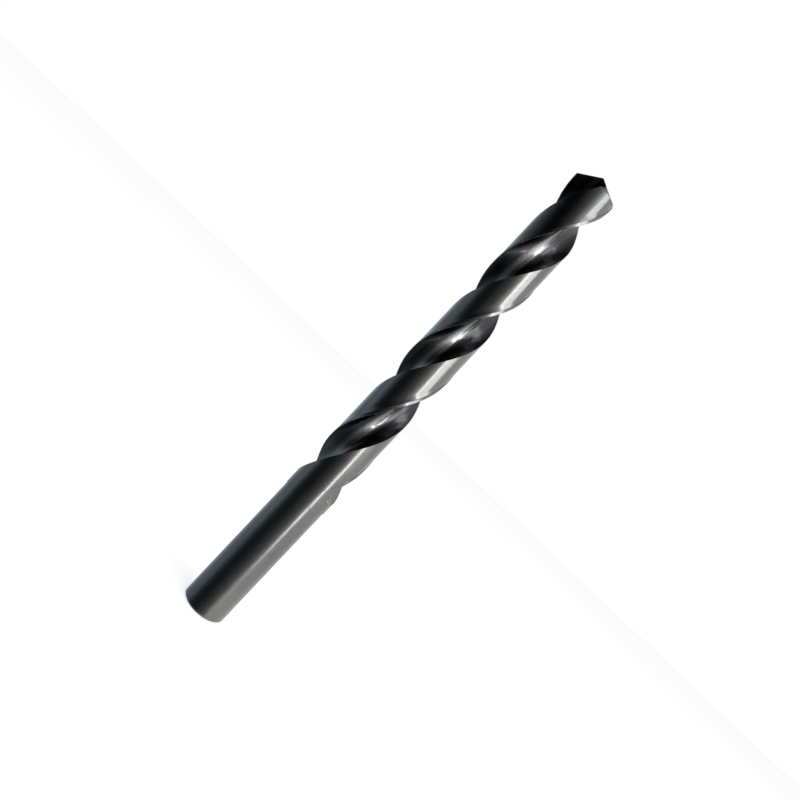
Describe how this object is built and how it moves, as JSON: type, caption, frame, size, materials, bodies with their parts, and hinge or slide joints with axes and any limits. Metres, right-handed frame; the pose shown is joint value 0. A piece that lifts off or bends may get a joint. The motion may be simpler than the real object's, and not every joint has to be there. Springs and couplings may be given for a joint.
{
  "type": "twist drill bit",
  "caption": "Straight-shank twist drill bit with helical flutes, narrow margins and a conical point, for drilling round holes.",
  "frame": {"origin": "middle of the shank's flat end face, on the drill's axis", "axes": "+Z along the axis from the shank to the point; the two cutting lips run along X"},
  "size_m": [0.013, 0.013, 0.152],
  "materials": {
    "black_oxide_steel": "black oxide, satin"
  },
  "bodies": {
    "root": {"twist_drill": "black_oxide_steel"}
  },
  "joints": []
}
